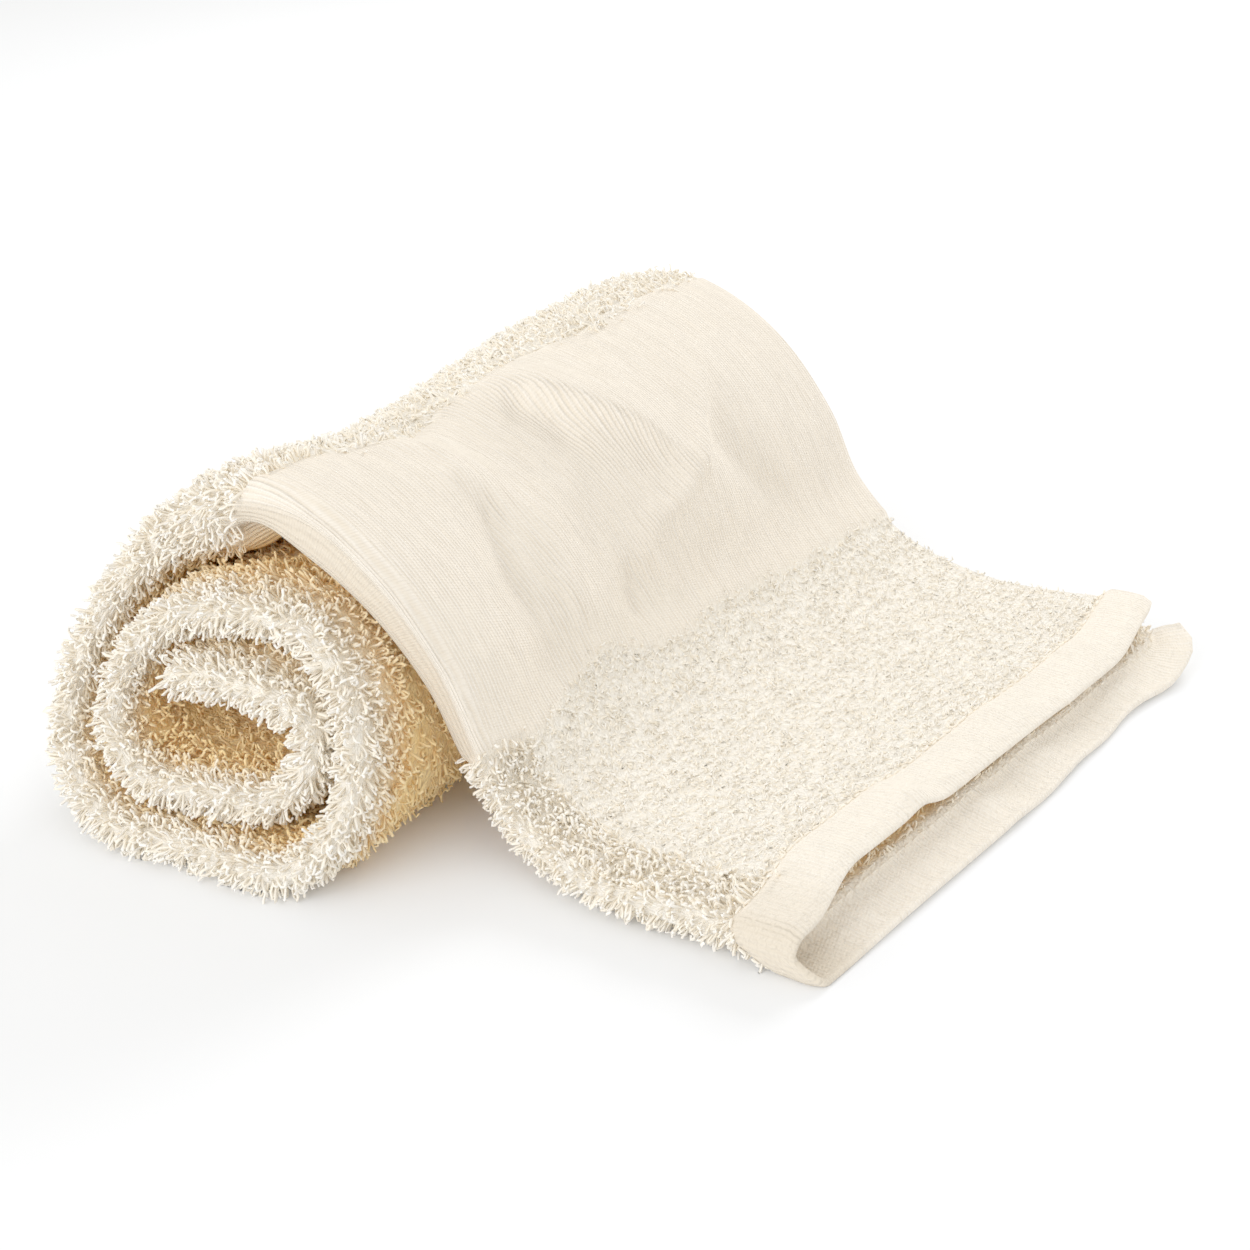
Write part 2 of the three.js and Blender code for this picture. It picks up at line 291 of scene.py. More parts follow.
def soft_creases(place, across):
    total = np.zeros(np.broadcast(place, across).shape)
    for from_place, from_across, to_place, to_across, rise, reach in CREASES:
        away, _, _ = off_line(place, across, (from_place, from_across), (to_place, to_across))
        total = total + rise * bump(away, 0, reach)
    return total


def fine_creases(place, across):
    """Creases that fall off faster on one side than on the other, and run out at their ends."""
    total = np.zeros(np.broadcast(place, across).shape)
    for line, rise, fold_reach, selvage_reach in FINE_CREASES:
        nearest = np.full(total.shape, 1e9)
        aside = np.zeros(total.shape)
        along = np.zeros(total.shape)
        for number, (start, end) in enumerate(zip(line[:-1], line[1:])):
            away, beside, share = off_line(place, across, start, end)
            closer = away < nearest
            nearest = np.where(closer, away, nearest)
            aside = np.where(closer, beside, aside)
            along = np.where(closer, (number + share) / (len(line) - 1), along)
        reach = fold_reach + (selvage_reach - fold_reach) * ease((aside + 1.5) / 3)
        ends = ease(along / CREASE_FADE) * ease((1 - along) / CREASE_FADE)
        fade = CREASE_END + (1 - CREASE_END) * ends
        total = total + rise * fade * np.exp(-((nearest / reach) ** 1.6))
    return total


def seam_place(angle):
    """Where the hem's stitches run, between the upper layer's place and the lower one's."""
    return LOWER_SEAM + (UPPER_SEAM - LOWER_SEAM) * ease(upper_share(angle))


def woven_band(place, across, angle=math.pi / 2):
    """1 on the flat woven band."""
    under = (1 - np.sin(angle)) / 2
    sooner = BAND_TURN + INNER_BAND_TURN * ease(across / 0.05)
    top = np.interp(across, *zip(*BAND_TOP)) - under * sooner
    end = np.interp(across, *zip(*BAND_END))
    return ease((place - top + EDGE / 2) / EDGE) * ease((end - place + EDGE / 2) / EDGE)


def hem_share(place, angle):
    """1 on the woven hem, from its stitches to its edge."""
    return ease((place - seam_place(angle) + EDGE / 2) / EDGE)


def terry(place, across, angle=math.pi / 2):
    """1 where the cloth carries loops, 0 on the woven band and the hems."""
    return (1 - woven_band(place, across, angle)) * (1 - hem_share(place, angle))


def far_light(across):
    """Low at the selvages, where light reaches in from the far end, and 1 further in."""
    return 1 - 0.85 * ease((across - 0.8) / 0.18)


def painted_shade_depth(place, across, angle):
    """How much painted golden shade the cloth takes: 0 where the towel shows its outside, 1 deep in the
    roll and under the drape.
    """
    outside = ease((place - OUTSIDE_FROM) / 1.5) * ease(1 + np.sin(angle))
    hem = ease((place - LAST + 1.7) / 0.6)
    reach = 0.05 + 0.05 * ease(upper_share(angle))
    return (1 - outside) * (1 - hem) * ease(across / reach) * far_light(across)


def lining_shade_depth(place, across):
    """The same painted golden shade between the two layers."""
    return ease(across / 0.1) * far_light(across) * ease((LINING_END - place) / 0.5)


def fold_front_shade(place, across, angle):
    """Mask of painted shade: 1 on the band's folded front, below its upper ridge, and on the hem's fold,
    where those faces are painted darker.
    """
    band = woven_band(place, across, angle) * ease((0.75 - np.sin(angle)) / 0.6) * (1 - ease(across / 0.02))
    hem = hem_share(place, angle) * ease((1.25 - np.sin(angle)) / 0.5) * (1 - ease((across - 0.01) / 0.1))
    return band + hem


def puckers(place, across, rows):
    total = np.zeros(np.broadcast(place, across).shape)
    for at_place, at_across, height, along, aside in rows:
        near = bump((place - at_place) * STATION_PITCH, 0, along)
        total = total + height * near * bump((across - at_across) * FOLDED_WIDTH, 0, aside)
    return total


def seam_relief(place, angle):
    """The groove that the stitches draw, and the swell of the turned hem beyond it."""
    off = (place - seam_place(angle)) * STATION_PITCH
    swell = HEM_SWELL * ease(off / 3) * ease((LAST - place) * STATION_PITCH / 2)
    return swell - SEAM_GROOVE * bump(off, 0.4, 1.4)


def hemward(place):
    """0 until the upper hem begins to lie back, 1 at its edge."""
    return ease((place - HEM_FROM) / (LAST - HEM_FROM))


def hem_draw(place, across, upper):
    """How far back a point near the hem lies. Of the lower layer, only the wavy edge and the corner
    lie back."""
    fold_draw = HEM_FOLD_DRAW * ease(upper * 1.6)
    side_draw = (LOWER_HEM_LEAD + CORNER_DRAW * ease((across - 0.8) / 0.2)) * upper
    share = 1 - (1 - UPPER_CORNER_SHARE) * upper
    corner = CORNER_ROUND * share * np.clip((across - 0.955) / 0.045, 0, 1) ** 2
    drawn = fold_draw + (side_draw - fold_draw) * ease(across / 0.15) + corner
    waves = sum(far * bump(across, at, reach) for at, far, reach in EDGE_WAVES)
    return hemward(place) * drawn + ease((place - LAST + 1.1) / 1.1) * (1 - upper) * waves


def upper_rise(place, across):
    """How much the upper layer rises: the hem's gape, its puckers and the band's creases."""
    hem = hemward(place)
    near = ease(across / 0.14) * (1 - 0.8 * ease((across - 0.29) / 0.07) - 0.2 * ease((across - 0.4) / 0.4))
    gape = hem * NEAR_HEM_GAPE * near + hem * FAR_HEM_GAPE * bump(across, 1, 0.12)
    drawn = puckers(place, across, UPPER_PUCKERS)
    return gape + drawn + soft_creases(place, across) + fine_creases(place, across)


def lower_rise(place, across):
    """How much the lower layer rises: where it leaves the upper hem, at its far corner and in its
    puckers. Where the band begins it sags instead."""
    emerging = HEM_LIFT * bump(place, LAST - 0.65, 0.35) * ease(across / 0.15)
    curl = CORNER_CURL * ease((place - LAST + 0.9) / 0.9) * ease((across - 0.86) / 0.14)
    sag = APEX_PUFF * bump(place, PUFF_MIDDLE, 1.0) * bump(across, 0.05, 0.08)
    return emerging + curl + puckers(place, across, LOWER_PUCKERS) - sag


def sink(place, across, angle=math.pi / 2):
    """How far the cloth's outer face lies inside the solid: the pile takes up that room."""
    loops = PILE_SINK + (FOLD_PILE_SINK - PILE_SINK) * (1 - ease(across / 0.08))
    room = half_thickness(place, across) - TERRY_SHEET - LAYER_GAP
    return terry(place, across, angle) * np.minimum(loops, room)


def fold_turn(place, across, angle, band):
    """The section's sine and cosine. Terry and the hem fold round, and the band folds with a flat
    front between two ridges. Where the band begins, the fold's lower half is thin."""
    firmness = ease((place - SQUARE_FROM) / 1.2) * (1 - 0.45 * ease((place - ROUNDER_FROM) / 1.5))
    square = 1 - (1 - FOLD_POWER) * band * firmness
    pinch = APEX_PINCH * bump(place, APEX, 0.75) * (1 - ease(across / 0.05)) * (1 - upper_share(angle))
    side = np.sign(np.sin(angle)) * np.abs(np.sin(angle)) ** square * (1 - pinch)
    return side, np.abs(np.cos(angle)) ** square


def skin(place, across, angle, depth, beyond=0.0):
    """A point on the cloth. depth is how far it lies inside the cloth's outer face, and beyond is how
    far it lies past its place along the towel."""
    place, across, angle = np.broadcast_arrays(
        np.asarray(place, float), np.asarray(across, float), np.asarray(angle, float)
    )
    along = heading(place, across)
    out = np.stack([-along[..., 2], np.zeros(place.shape), along[..., 0]], -1)
    reach = np.maximum(half_thickness(place, across) - sink(place, across, angle) - depth, LEAST_REACH)
    edge = half_thickness(place, 0 * across)
    upper = upper_share(angle)
    band = woven_band(place, across, angle)
    side, front = fold_turn(place, across, angle, band)
    inset = band * (FOLD_DENT * bump(angle, -0.15, 0.45) + FOLD_UNDERCUT * (1 - upper))
    rise = upper_rise(place, across) * upper + lower_rise(place, across) * (1 - upper)
    moved = (reach + seam_relief(place, angle)) * side + rise
    lead = beyond - hem_draw(place, across, upper)
    point = middle_line(place, across)
    point[..., 1] += edge + (FOLDED_WIDTH - edge) * across - (reach - inset) * front
    point += out * moved[..., None]
    point += along * lead[..., None]
    return point


def centring():
    """The move that puts the origin under the middle of the part's box."""
    high = Vector(cad_bounds[1]) / MM
    hem = skin(LAST, np.linspace(0, 1, 40), -math.pi / 2, -sink(LAST, 0.5))
    top_y = STATIONS[LAST][2] + FOLDED_WIDTH
    return np.array([high.x - hem[..., 0].max(), high.y - top_y, 0])


SHIFT = centring()


def placed(points):
    """Points in metres in the part's frame, none of them below the surface."""
    moved = points + SHIFT
    moved[..., 2] = np.maximum(moved[..., 2], FLOOR_GAP)
    return moved * MM


def length_at(place):
    """Millimetres along the cloth from its inner end."""
    fine = np.linspace(0, LAST, 4000)
    steps = np.linalg.norm(np.diff(spline((0, 1), fine), axis=0), axis=1)
    return np.interp(place, fine, np.concatenate([[0], np.cumsum(steps)]))


def places_between(start, end, pitch):
    """Places along the towel, evenly spaced in millimetres."""
    first, last = length_at(start), length_at(end)
    count = max(2, int(round((last - first) / pitch)) + 1)
    fine = np.linspace(0, LAST, 4000)
    return np.interp(np.linspace(first, last, count), length_at(fine), fine)


# Cloth

def mesh_object(name, points, faces, attributes=(), uv=None):
    """A mesh from points in metres and quads, with named point attributes and one UV per point."""
    mesh = bpy.data.meshes.new(name)
    mesh.from_pydata(points.reshape(-1, 3), [], faces.tolist())
    for label, values in attributes:
        kind = "FLOAT_VECTOR" if values.ndim > 1 else "FLOAT"
        data = mesh.attributes.new(label, kind, "POINT").data
        data.foreach_set("vector" if values.ndim > 1 else "value", values.astype(np.float32).ravel())
    if uv is not None:
        corners = np.zeros(len(mesh.loops), int)
        mesh.loops.foreach_get("vertex_index", corners)
        layer = mesh.uv_layers.new(name="cloth")
        layer.data.foreach_set("uv", uv[corners].astype(np.float32).ravel())
    mesh.shade_smooth()
    return in_scene(name, mesh)


def in_scene(name, data):
    """A new object in the scene, at the origin."""
    piece = bpy.data.objects.new(name, data)
    bpy.context.scene.collection.objects.link(piece)
    return piece


def grid_faces(rows, columns, close_columns=False, flip=False):
    """Quads of a grid of rows by columns, whose last column may meet the first one."""
    r = np.arange(rows - 1)[:, None]
    c = np.arange(columns if close_columns else columns - 1)[None, :]
    a = r * columns + c
    b = r * columns + (c + 1) % columns
    quads = np.stack([a, b, b + columns, a + columns], -1).reshape(-1, 4)
    return quads[:, ::-1] if flip else quads


def section_columns():
    """across and angle of the columns, from the outer selvage round the fold to the inner one."""
    close_from = 0.07
    close = np.linspace(0, close_from, 12)
    outer = np.concatenate([np.linspace(1, close_from, 92), close[::-1][1:-1]])
    turn = np.radians(np.linspace(90, -90, 15))
    inner = np.linspace(0, 1, 44)[1:]
    across = np.concatenate([outer, np.zeros(len(turn)), inner])
    angle = np.concatenate([np.full(len(outer), math.pi / 2), turn, np.full(len(inner), -math.pi / 2)])
    return across, angle


def cloth_places():
    """Place, how far beyond it, and how much of the thickness is left, for each row of the sheet. Both
    ends of the towel are rounded."""
    places = np.concatenate([places_between(0, FINE_FROM, 3.2), places_between(FINE_FROM, LAST, 1.25)[1:]])
    rounded = [(0.35, 0.86), (0.6, 0.55), (0.7, 0.15)]
    inner_end = [(0.0, -far, left) for far, left in reversed(rounded)]
    hem_end = [(LAST, far, left) for far, left in rounded]
    return inner_end + [(place, 0.0, 1.0) for place in places] + hem_end


def cloth_row(across, angle, place, beyond, left):
    """Points of the outer and the inner face, how flat the weave is, how much painted golden shade each
    face takes deep in the towel, how much painted shade the folded front takes and the UV of one row."""
    woven = 1 - terry(place, across, angle)
    thick = TERRY_SHEET + (WOVEN_SHEET - TERRY_SHEET) * woven
    hidden = thick * (1 - left) / 2
    outer = skin(place, across, angle, hidden, beyond)
    inner = skin(place, across, angle, thick - hidden, beyond)
    flat = woven * (1 - HEM_FUZZ * hem_share(place, angle))
    # deep and lining are masks of painted golden shade deep in the roll, under the drape and between the
    # layers
    deep = painted_shade_depth(place, across, angle)
    lining = np.maximum(deep, lining_shade_depth(place, across))
    # front is the mask of painted shade on the band's folded front and the hem's fold
    front = fold_front_shade(place, across, angle)
    side = -np.sign(angle + 1e-9) * across * FOLDED_WIDTH - TURN_ARC * angle
    length = np.full(len(across), float(length_at(place)) + beyond)
    return outer, inner, flat, deep, lining, front, np.stack([length, side], -1) * MM


def round_section(outer, inner):
    """Columns of the outer face, and then back along the inner face."""
    return np.concatenate([outer, inner[:, ::-1]], 1)


def make_cloth():
    """The towel's sheet: a closed thin shell, its outer face and its inner face joined at the edges."""
    across, angle = section_columns()
    rows = [cloth_row(across, angle, *row) for row in cloth_places()]
    outer, inner, flat, deep, lining, front, uv = (np.array(part) for part in zip(*rows))
    points = round_section(outer, inner)
    count = points.shape[1]
    sides = grid_faces(len(rows), count, close_columns=True)
    c = np.arange(count // 2 - 1)
    start = np.stack([c, count - 1 - c, count - 2 - c, c + 1], -1)
    end = start[:, ::-1] + (len(rows) - 1) * count
    # deep and front carry the painted shade to the material
    attributes = [
        ("flat", round_section(flat, flat).ravel()),
        ("deep", round_section(deep, lining).ravel()),
        ("front", round_section(front, front).ravel()),
    ]
    flat_place = round_section(uv, uv).reshape(-1, 2)
    return mesh_object("cloth", placed(points), np.concatenate([sides, start, end]), attributes, flat_place)


# Nodes

def put(tree, socket, value):
    """A plain value is set on the socket, and another node's socket is linked to it."""
    if isinstance(value, bpy.types.NodeSocket):
        tree.links.new(value, socket)
    else:
        socket.default_value = value


def node(tree, kind, inputs=None, **settings):
    """A new node, its inputs given by name or number as put() takes them."""
    made = tree.nodes.new(kind)
    for name, value in settings.items():
        setattr(made, name, value)
    for name, value in (inputs or {}).items():
        put(tree, made.inputs[name], value)
    return made


def math_node(tree, operation, *values):
    return node(tree, "ShaderNodeMath", dict(enumerate(values)), operation=operation).outputs[0]


def times(tree, first, second):
    return math_node(tree, "MULTIPLY", first, second)


def plus(tree, first, second):
    return math_node(tree, "ADD", first, second)


def less(tree, first, second):
    return math_node(tree, "SUBTRACT", first, second)


def vector_node(tree, operation, first, second):
    return node(tree, "ShaderNodeVectorMath", {0: first, 1: second}, operation=operation)


def added_up(tree, first, second):
    return vector_node(tree, "ADD", first, second).outputs[0]


def scaled(tree, vector, amount):
    return node(tree, "ShaderNodeVectorMath", {0: vector, "Scale": amount}, operation="SCALE").outputs[0]


def point_of(tree, **parts):
    return node(tree, "ShaderNodeCombineXYZ", parts).outputs[0]


def noise(tree, scale, detail, vector=None):
    inputs = {"Scale": scale, "Detail": detail}
    if vector is not None:
        inputs["Vector"] = vector
    return node(tree, "ShaderNodeTexNoise", inputs).outputs


def mix_colour(tree, share, low, high):
    low, high = ((*value, 1.0) if isinstance(value, tuple) else value for value in (low, high))
    return node(tree, "ShaderNodeMix", {0: share, 6: low, 7: high}, data_type="RGBA").outputs[2]


def painted(tree, label):
    """An attribute of the mesh, as a number."""
    return node(tree, "ShaderNodeAttribute", attribute_name=label).outputs["Fac"]


def finish_cotton(tree, colour, height, strength, depth):
    """The colour and the relief, on the material's shader."""
    shader = tree.nodes["Principled BSDF"]
    put(tree, shader.inputs["Base Color"], colour)
    relief = node(tree, "ShaderNodeBump", {"Strength": strength, "Distance": depth, "Height": height})
    put(tree, shader.inputs["Normal"], relief.outputs[0])


# Materials

# The woven cloth is painted darker where its weave lies low: painted shade in the valleys, partly the
# yarns' uneven tone
WOVEN_LIGHT = (0.955, 0.893, 0.805)
WOVEN_VALLEY_SHADE = (0.83, 0.73, 0.585)
FOLD_FRONT_SHADE = (0.7, 0.61, 0.48)  # painted shade on the woven cloth's folded fronts
# The terry's ground, painted darker between its loops as painted shade
GROUND_LIGHT = (0.98, 0.945, 0.875)
GROUND_GAP_SHADE = (0.97, 0.91, 0.8)
# Painted shade: the loops are darker and more golden towards their roots
LOOP_TIP = (0.995, 0.972, 0.925)
LOOP_ROOT_SHADE = (0.99, 0.922, 0.795)
GOLDEN_SHADE = (0.98, 0.68, 0.22)  # painted golden shade deep in the roll and under the drape, standing in for light passed on through other yarns
THREAD_DEEP = (0.84, 0.76, 0.62)
THREAD_LIGHT = (0.96, 0.92, 0.84)
RIB_PITCH = 0.00095  # the weave's sizes are in metres
PICK_PITCH = 0.0006
RIB_SWAY = 0.0012
WEAVE_DEPTH = 0.00033
TWIST_DEPTH = 0.0001
COTTON = {
    "Roughness": 0.92,
    "Specular IOR Level": 0.2,
    "Sheen Weight": 0.25,
    "Sheen Roughness": 0.5,
    "Sheen Tint": (1.0, 0.95, 0.86, 1.0),
}


def new_material(name, finish):
    made = bpy.data.materials.new(name)
    made.use_nodes = True
    for label, value in finish.items():
        made.node_tree.nodes["Principled BSDF"].inputs[label].default_value = value
    return made, made.node_tree


def weave_group():
    """Warp ribs along the towel with fine picks across them, from UV in metres."""
    tree = bpy.data.node_groups.new("weave", "ShaderNodeTree")
    for name, kind, way in (
        ("Vector", "NodeSocketVector", "INPUT"),
        ("Rib Pitch", "NodeSocketFloat", "INPUT"),
        ("Pick Pitch", "NodeSocketFloat", "INPUT"),
        ("Height", "NodeSocketFloat", "OUTPUT"),
        ("Shade", "NodeSocketFloat", "OUTPUT"),
    ):
        tree.interface.new_socket(name, in_out=way, socket_type=kind)
    enter = node(tree, "NodeGroupInput").outputs
    leave = node(tree, "NodeGroupOutput").inputs
    uv = enter["Vector"]
    full_turn = 2 * math.pi
    wander = noise(tree, 70, 2, uv)
    split = node(tree, "ShaderNodeSeparateXYZ", {0: uv}).outputs
    side = plus(tree, split[1], times(tree, wander["Fac"], RIB_SWAY))
    rib_phase = times(tree, math_node(tree, "DIVIDE", side, enter["Rib Pitch"]), full_turn)
    pick_phase = times(tree, math_node(tree, "DIVIDE", split[0], enter["Pick Pitch"]), full_turn)
    rib = math_node(tree, "SINE", rib_phase)
    pick = math_node(tree, "SINE", plus(tree, pick_phase, times(tree, rib_phase, 0.5)))
    # Yarns that run along the towel, some thicker than others
    drawn = node(tree, "ShaderNodeMapping", {"Scale": (110, 1500, 1), "Vector": uv})
    yarns = noise(tree, 1, 2, drawn.outputs[0])
    uneven = times(tree, less(tree, yarns["Fac"], 0.5), 2.6)
    grain = noise(tree, 1500, 3, uv)
    crumb = less(tree, grain["Fac"], 0.5)
    height = plus(tree, times(tree, rib, 0.6), uneven)
    height = plus(tree, height, times(tree, pick, 0.2))
    height = plus(tree, height, times(tree, crumb, 1.3))
    put(tree, leave["Height"], height)
    # Shade: painted shade, darker where the weave lies low, together with the yarns' uneven tone
    put(tree, leave["Shade"], plus(tree, times(tree, height, 0.35), 0.55))
    return tree


def terry_ground(tree, uv):
    """Colour and height of the loops that stand too close together to be told apart. The colour is painted
    darker between the loops, as painted shade.
    """
    bent = noise(tree, 420, 3, uv)
    moved = added_up(tree, uv, scaled(tree, bent["Color"], 0.0022))
    cells = node(tree, "ShaderNodeTexVoronoi", {"Scale": 1050, "Randomness": 0.9, "Vector": moved})
    round_top = math_node(tree, "POWER", cells.outputs["Distance"], 1.6)
    height = less(tree, 1.0, times(tree, round_top, 1.6))
    return mix_colour(tree, height, GROUND_GAP_SHADE, GROUND_LIGHT), height


def cloth_material(weave):
    """Woven cloth where the sheet is flat, and the terry's ground elsewhere."""
    made, tree = new_material("towel_cloth", COTTON)
    uv = node(tree, "ShaderNodeUVMap", uv_map="cloth").outputs[0]
    flat = painted(tree, "flat")
    inputs = {"Rib Pitch": RIB_PITCH, "Pick Pitch": PICK_PITCH, "Vector": uv}
    cloth = node(tree, "ShaderNodeGroup", inputs, node_tree=weave).outputs
    # The weave's colour, with painted shade in its valleys
    woven = mix_colour(tree, cloth["Shade"], WOVEN_VALLEY_SHADE, WOVEN_LIGHT)
    ground, loops = terry_ground(tree, uv)
    colour = mix_colour(tree, flat, ground, woven)
    # Painted shade: darker on the band's folded front and on the hem's fold
    colour = mix_colour(tree, times(tree, painted(tree, "front"), FOLD_SHADE_SHARE), colour, FOLD_FRONT_SHADE)
    # Painted golden shade deep in the roll, under the drape and between the layers
    colour = mix_colour(tree, times(tree, painted(tree, "deep"), 0.85), colour, GOLDEN_SHADE)
    heights = {0: flat, 2: times(tree, loops, 2.4), 3: cloth["Height"]}
    height = node(tree, "ShaderNodeMix", heights, data_type="FLOAT").outputs[0]
    finish_cotton(tree, colour, height, 0.6, WEAVE_DEPTH)
    return made


def pile_material():
    """Loops painted darker and more golden towards their roots and deep in the towel, as painted shade, and
    no two quite alike.
    """
    made, tree = new_material("terry_loops", COTTON)
    # tip runs from the roots to the top of each yarn; towards the roots the colour is painted shade
    rising = plus(tree, times(tree, painted(tree, "tip"), 1.1), painted(tree, "shade"))
    share = node(tree, "ShaderNodeMapRange", {"From Min": 0.1, "From Max": 1.1, "Value": rising})
    colour = mix_colour(tree, share.outputs[0], LOOP_ROOT_SHADE, LOOP_TIP)
    # Painted golden shade deep in the roll and under the drape
    colour = mix_colour(tree, times(tree, painted(tree, "deep"), 0.8), colour, GOLDEN_SHADE)
    twist = noise(tree, 3200, 1, node(tree, "ShaderNodeTexCoord").outputs["Object"])
    finish_cotton(tree, colour, twist["Fac"], 0.25, TWIST_DEPTH)
    return made


def thread_material():
    made, tree = new_material("hem_thread", COTTON)
    twist = noise(tree, 2500, 2, node(tree, "ShaderNodeTexCoord").outputs["Object"])
    colour = mix_colour(tree, twist["Fac"], THREAD_DEEP, THREAD_LIGHT)
    put(tree, tree.nodes["Principled BSDF"].inputs["Base Color"], colour)
    return made


# Growing by Geometry Nodes

def named_sockets(tree, sizes):
    """Geometry in and out, and a named input for each size. Gives each input's identifier."""
    tree.interface.new_socket("Geometry", in_out="INPUT", socket_type="NodeSocketGeometry")
    sockets = {}
    for name, value in sizes.items():
        kind = "NodeSocketInt" if isinstance(value, int) else "NodeSocketFloat"
        made = tree.interface.new_socket(name, in_out="INPUT", socket_type=kind)
        made.default_value = value
        sockets[name] = made.identifier
    tree.interface.new_socket("Geometry", in_out="OUTPUT", socket_type="NodeSocketGeometry")
    return sockets


def random_number(tree, low, high, seed):
    """A number for each point."""
    inputs = {2: low, 3: high, "Seed": seed}
    return node(tree, "FunctionNodeRandomValue", inputs, data_type="FLOAT").outputs[1]


def random_vector(tree, reach, seed):
    """A vector for each point, each of its parts from -reach to reach."""
    inputs = {0: (-reach, -reach, -reach), 1: (reach, reach, reach), "Seed": seed}
    return node(tree, "FunctionNodeRandomValue", inputs, data_type="FLOAT_VECTOR").outputs[0]


def stored(tree, geometry, label, value):
    """The geometry with a named number on its points."""
    inputs = {"Geometry": geometry, "Name": label, "Value": value}
    made = node(tree, "GeometryNodeStoreNamedAttribute", inputs, data_type="FLOAT", domain="POINT")
    return made.outputs[0]


def recalled(tree, label, kind="FLOAT"):
    return node(tree, "GeometryNodeInputNamedAttribute", {"Name": label}, data_type=kind).outputs[0]


def planted(tree, points, instance, turn, size, material, pick=False, smooth=False):
    """Ends a tree: an instance on each point, made real and given its material."""
    inputs = {"Points": points, "Instance": instance, "Rotation": turn, "Scale": size}
    made = node(tree, "GeometryNodeInstanceOnPoints", {**inputs, "Pick Instance": pick})
    made = node(tree, "GeometryNodeRealizeInstances", {0: made.outputs[0]})
    if smooth:
        made = node(tree, "GeometryNodeSetShadeSmooth", {0: made.outputs[0]})
    made = node(tree, "GeometryNodeSetMaterial", {"Geometry": made.outputs[0], "Material": material})
    put(tree, node(tree, "NodeGroupOutput").inputs[0], made.outputs[0])


def clear_floor(mesh):
    """Yarns that would reach into the surface lie on it instead."""
    spots = np.zeros(len(mesh.vertices) * 3, np.float32)
    mesh.vertices.foreach_get("co", spots)
    spots[2::3] = np.maximum(spots[2::3], FLOOR_GAP * MM)
    mesh.vertices.foreach_set("co", spots)


def grow(name, base, tree, sockets, sizes):
    """What the tree makes on the base, as a plain mesh."""
    modifier = base.modifiers.new("grown", "NODES")
    modifier.node_group = tree
    for label, value in sizes.items():
        modifier[sockets[label]] = value
    evaluated = base.evaluated_get(bpy.context.evaluated_depsgraph_get())
    mesh = bpy.data.meshes.new_from_object(evaluated)
    mesh.name = name
    clear_floor(mesh)
    bpy.data.objects.remove(base)
    return in_scene(name, mesh)


# Pile

# Start, start handle, end handle and end of each kind of yarn, in loop widths aside and in lengths up
YARN_SHAPES = [
    [(0, 0, -0.1), (-0.3, 0, 0.6), (1.2, 0.4, 1.2), (1.6, 0.3, 0.6)],
    [(0, 0, -0.1), (-0.5, 0.2, 0.4), (0.6, -0.6, 0.8), (0.1, -0.2, 1.1)],
    [(0, 0, -0.1), (0.7, 0.3, 0.7), (-0.8, 0.5, 1.1), (-1.2, 0.9, 0.65)],
    [(0.3, 0, -0.1), (1.3, -0.3, 1.0), (-1.1, 0.7, 1.3), (-0.6, 0.4, 0.3)],
    [(-0.5, 0, -0.1), (-1.0, 0.2, 1.2), (1.2, -0.4, 1.25), (0.5, 0.1, 0.05)],
]
HAIRPIN_END = 0.5  # a yarn that ends lower than this comes back down as a hairpin
HAIRPIN_GIRTH = 0.8
LOOP_ROOT_DEPTH = 0.25  # how far in the cloth the loops begin
SPIN_SEED, SIZE_SEED, SHADE_SEED = 11, 12, 13

# Each patch's loops to the square metre, its sizes in metres and its ways of standing
LOOP_SIZES = (
    "Density", "Loop Length", "Loop Width", "Yarn Radius",
    "Stand", "Tousle", "Clump", "Loop Segments", "Seed",
)
LOOPS = {
    "pile_rim_inner": (9.5e5, 0.0033, 0.0009, 0.0003, 0.9, 0.6, 2.2, 4, 3),
    "pile_rim_outer": (9.5e5, 0.0033, 0.0009, 0.0003, 0.9, 0.6, 2.2, 4, 4),
    "pile_wrap": (4.6e5, 0.0026, 0.0008, 0.00031, 0.4, 0.55, 1.6, 3, 5),
    "pile_flap": (1.3e6, 0.0013, 0.0007, 0.00024, 0.24, 0.8, 1.4, 2, 7),
    "pile_brim": (1.1e6, 0.0027, 0.0006, 0.00029, 0.8, 0.5, 1.8, 4, 9),
    "pile_inside": (3.6e5, 0.0024, 0.0006, 0.0003, 0.6, 0.6, 1.5, 3, 11),
    "pile_ends": (3.6e5, 0.0021, 0.0006, 0.00029, 0.7, 0.6, 1.5, 3, 13),
}
RIM_SPLIT = 13.2  # where the rim's pile is cut into two pieces
UNDER_WRAP = 13.5  # the next turn hides the outer face beyond it
UNDER_BAND = 22.8  # the inner face is woven beyond it
DRAPE_FROM = 27.3  # the loose end's terry begins
ROLL_PILE_END = 23.6  # the roll's rim carries no loops beyond it


